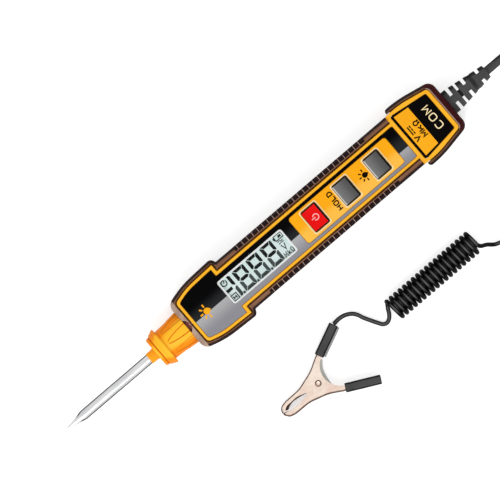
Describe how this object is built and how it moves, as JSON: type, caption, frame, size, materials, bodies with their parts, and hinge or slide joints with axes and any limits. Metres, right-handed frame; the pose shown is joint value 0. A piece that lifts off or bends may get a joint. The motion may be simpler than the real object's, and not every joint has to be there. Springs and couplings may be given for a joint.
{
  "type": "circuit tester screwdriver",
  "caption": "Pen-shaped digital circuit tester: steel probe, fluted nozzle, flat display, push keys, ribbed rubber grip, strain relief and a curly cord with a spring clip.",
  "frame": {"origin": "middle of the bottom of the pen's bounding box (without strain relief, cord and clip), on the floor that the flat back lies on", "axes": "+X along the pen from the probe's tip to the cord end, +Z out of the face with the display and keys, +Y to the left seen from the tail with the face up; the clip and coil lie on the -Y side"},
  "size_m": [0.2984, 0.0931, 0.0229],
  "materials": {
    "housing_orange": "satin moulded plastic",
    "nozzle_orange": "smooth moulded plastic",
    "boot_rubber": "soft matt overmould",
    "panel_print": "printed film",
    "lens_clear": "clear polished plastic",
    "display_glass": "grey-green segment display",
    "backlight_white": "milky light guide",
    "strip_rubber": "conductive elastomer strip",
    "key_red": "moulded key",
    "key_grey": "moulded key",
    "switch_black": "moulded package",
    "board_green": "coated glass-fibre board",
    "steel": "bright steel",
    "brass": "bare turned brass",
    "lamp_clear": "clear epoxy lamp",
    "cell_wrap": "printed wrap",
    "relief_black": "soft moulded plastic",
    "cord_black": "cord jacket",
    "clip_copper": "copper-washed pressed sheet"
  },
  "bodies": {
    "tester": {"front_shell": "housing_orange", "rear_shell": "housing_orange", "battery_door": "housing_orange", "nozzle": "nozzle_orange", "grip": "boot_rubber", "tail_bumper": "boot_rubber", "face_overlay": "panel_print", "tail_label": "panel_print", "display_lens": "lens_clear", "display_glass": "display_glass", "display_backlight": "backlight_white", "contact_strip_1": "strip_rubber", "contact_strip_2": "strip_rubber", "power_switch": "switch_black", "hold_switch": "switch_black", "light_switch": "switch_black", "measuring_chip": "switch_black", "buzzer": "switch_black", "circuit_board": "board_green", "probe_rod": "steel", "case_screw_1": "steel", "case_screw_2": "steel", "case_screw_3": "steel", "case_screw_4": "steel", "door_screw": "steel", "clip_rivet": "steel", "clip_spring": "steel", "battery_spring": "steel", "link_spring": "steel", "link_plate": "steel", "positive_plate": "steel", "negative_plate": "steel", "probe_ferrule": "brass", "probe_contact": "brass", "torch_lamp": "lamp_clear", "battery_1": "cell_wrap", "battery_2": "cell_wrap", "strain_relief": "relief_black", "clip_fixed_sleeve": "relief_black", "cord_lead": "cord_black", "cord_coil": "cord_black", "cord_tail": "cord_black", "inner_wire": "cord_black", "clip_fixed_jaw": "clip_copper"},
    "power_key": {"power_key": "key_red"},
    "hold_key": {"hold_key": "key_grey"},
    "light_key": {"light_key": "key_grey"},
    "clip_lever": {"clip_moving_jaw": "clip_copper", "clip_moving_sleeve": "relief_black"}
  },
  "joints": [
    {"name": "power_key_press", "type": "slide", "parent": "tester", "child": "power_key", "axis": [0, 0, -1], "range_m": [0, 0.0006], "stiffness_N_per_m": 800, "springref_m": -0.0001},
    {"name": "hold_key_press", "type": "slide", "parent": "tester", "child": "hold_key", "axis": [0, 0, -1], "range_m": [0, 0.0006], "stiffness_N_per_m": 800, "springref_m": -0.0001},
    {"name": "light_key_press", "type": "slide", "parent": "tester", "child": "light_key", "axis": [0, 0, -1], "range_m": [0, 0.0006], "stiffness_N_per_m": 800, "springref_m": -0.0001},
    {"name": "clip_hinge", "type": "hinge", "parent": "tester", "child": "clip_lever", "pos_m": [-0.01285, -0.05778, 0.0043], "axis": [0, 0, 1], "range_deg": [0, 40], "stiffness_Nm_per_rad": 0.03, "springref_deg": -28.65, "deforming": ["clip_spring"]}
  ]
}
